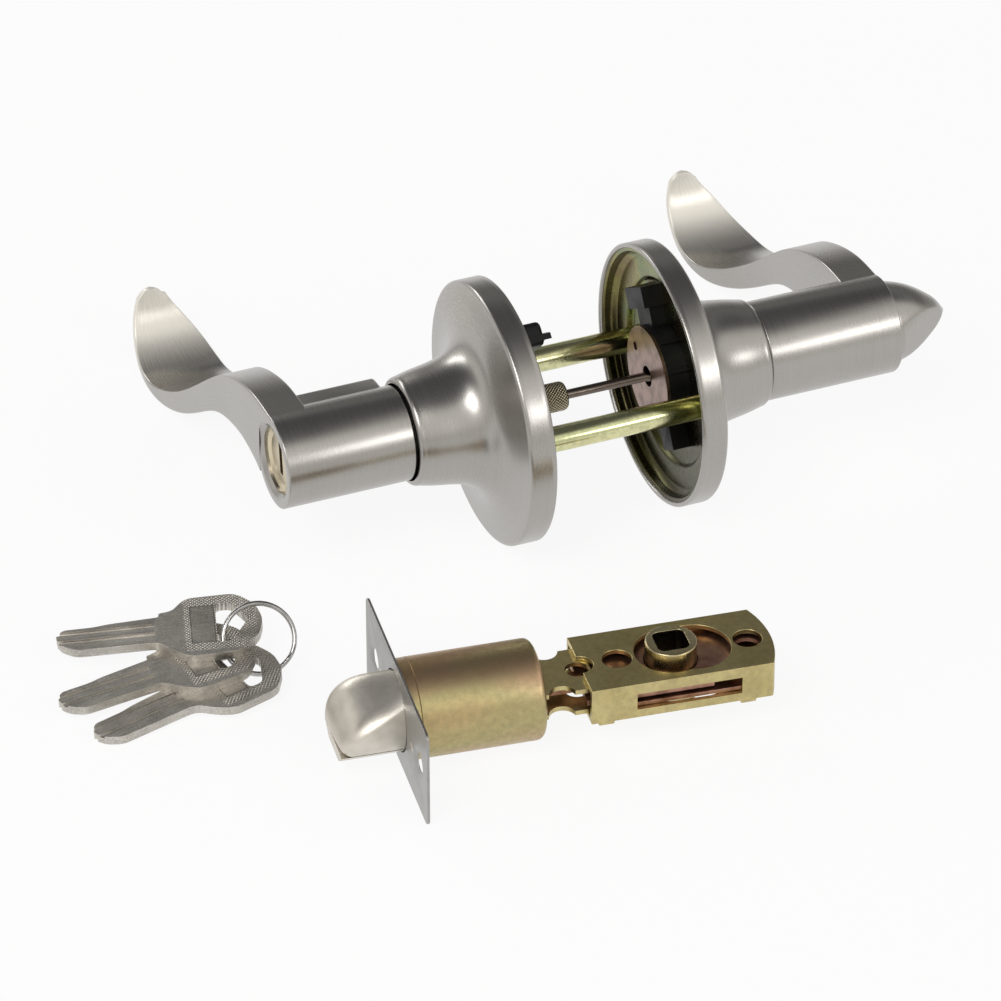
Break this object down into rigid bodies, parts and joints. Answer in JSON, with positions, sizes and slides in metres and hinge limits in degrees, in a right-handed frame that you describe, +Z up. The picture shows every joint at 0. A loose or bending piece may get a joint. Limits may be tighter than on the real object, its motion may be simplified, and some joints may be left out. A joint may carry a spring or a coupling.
{
  "type": "keyed entry lever lock",
  "caption": "Keyed entry door lever set: round roses, downswept levers with keyed cylinder and turn button, tubular spring latch with bevelled bolt, keys on a split ring",
  "frame": {"origin": "Centre of the bounding box of the whole set in plan, on the floor it lies on.", "axes": "+X along the spindle from the keyed trim to the turn-button trim, +Y the way the levers point, +Z up."},
  "size_m": [0.2408, 0.2124, 0.065],
  "materials": {
    "satin_nickel": "satin nickel with fine lathe lines",
    "latch_nickel": "satin nickel plate",
    "key_nickel": "nickel-plated key brass",
    "ring_steel": "bright nickel wire",
    "yellow_zinc": "yellow chromate zinc plate",
    "tan_zinc": "tan chromate zinc plate",
    "copper_wash": "copper-washed steel",
    "black_plastic": "moulded black plastic",
    "plug_brass": "turned brass",
    "bare_steel": "bare spring steel"
  },
  "bodies": {
    "lockset": {"outside_rose": "satin_nickel", "outside_mounting_plate": "yellow_zinc", "outside_spring_cage": "black_plastic", "outside_centre_plate": "copper_wash", "outside_return_spring": "bare_steel", "inside_rose": "satin_nickel", "inside_mounting_plate": "yellow_zinc", "inside_spring_cage": "black_plastic", "inside_centre_plate": "copper_wash", "inside_return_spring": "bare_steel", "mounting_posts": "yellow_zinc", "mounting_screws": "yellow_zinc", "latch_faceplate": "latch_nickel", "latch_backing_plate": "latch_nickel", "latch_rivets": "latch_nickel", "latch_tube": "tan_zinc", "latch_neck": "yellow_zinc", "latch_case": "yellow_zinc", "latch_base": "copper_wash", "bolt_spring": "bare_steel", "plunger_spring": "bare_steel", "key_1": "key_nickel", "key_2": "key_nickel", "key_3": "key_nickel", "key_ring": "ring_steel"},
    "keyed_lever": {"outside_lever": "satin_nickel", "outside_hub": "bare_steel", "outside_retaining_ring": "bare_steel", "outside_spindle": "bare_steel", "key_cylinder": "plug_brass"},
    "turn_lever": {"inside_lever": "satin_nickel", "inside_hub": "bare_steel", "inside_retaining_ring": "bare_steel", "inside_spindle": "bare_steel"},
    "plug": {"key_plug": "plug_brass"},
    "button": {"turn_button": "satin_nickel", "locking_bar": "bare_steel"},
    "hub": {"latch_hub": "yellow_zinc"},
    "bolt": {"latch_bolt": "latch_nickel", "bolt_tail": "copper_wash"},
    "plunger": {"deadlatch_plunger": "latch_nickel"}
  },
  "joints": [
    {"name": "keyed_lever_turn", "type": "hinge", "parent": "lockset", "child": "keyed_lever", "pos_m": [-0.03461, 0.00033, 0.0325], "axis": [1, 0, 0], "range_deg": [-50, 50], "stiffness_Nm_per_rad": 2},
    {"name": "turn_lever_turn", "type": "hinge", "parent": "lockset", "child": "turn_lever", "pos_m": [0.08279, 0.00033, 0.0325], "axis": [1, 0, 0], "range_deg": [-50, 50], "stiffness_Nm_per_rad": 2},
    {"name": "plug_turn", "type": "hinge", "parent": "keyed_lever", "child": "plug", "pos_m": [-0.03461, 0.00033, 0.0325], "axis": [1, 0, 0], "range_deg": [0, 90]},
    {"name": "button_turn", "type": "hinge", "parent": "lockset", "child": "button", "pos_m": [0.10279, 0.00033, 0.0325], "axis": [1, 0, 0], "range_deg": [0, 90]},
    {"name": "bolt_slide", "type": "slide", "parent": "lockset", "child": "bolt", "axis": [0.9922, -0.1246, 0], "range_m": [0, 0.012], "stiffness_N_per_m": 150, "springref_m": -0.01},
    {"name": "hub_turn", "type": "hinge", "parent": "lockset", "child": "hub", "pos_m": [0.01138, -0.08581, 0.0127], "axis": [0, 0, 1], "range_deg": [0, 61]},
    {"name": "plunger_slide", "type": "slide", "parent": "lockset", "child": "plunger", "axis": [0.9922, -0.1246, 0], "range_m": [0, 0.01], "stiffness_N_per_m": 60, "springref_m": -0.006}
  ],
  "couplings": [
    {"joint": "hub_turn", "follows": "bolt_slide", "rad_per_m": 87.266}
  ]
}
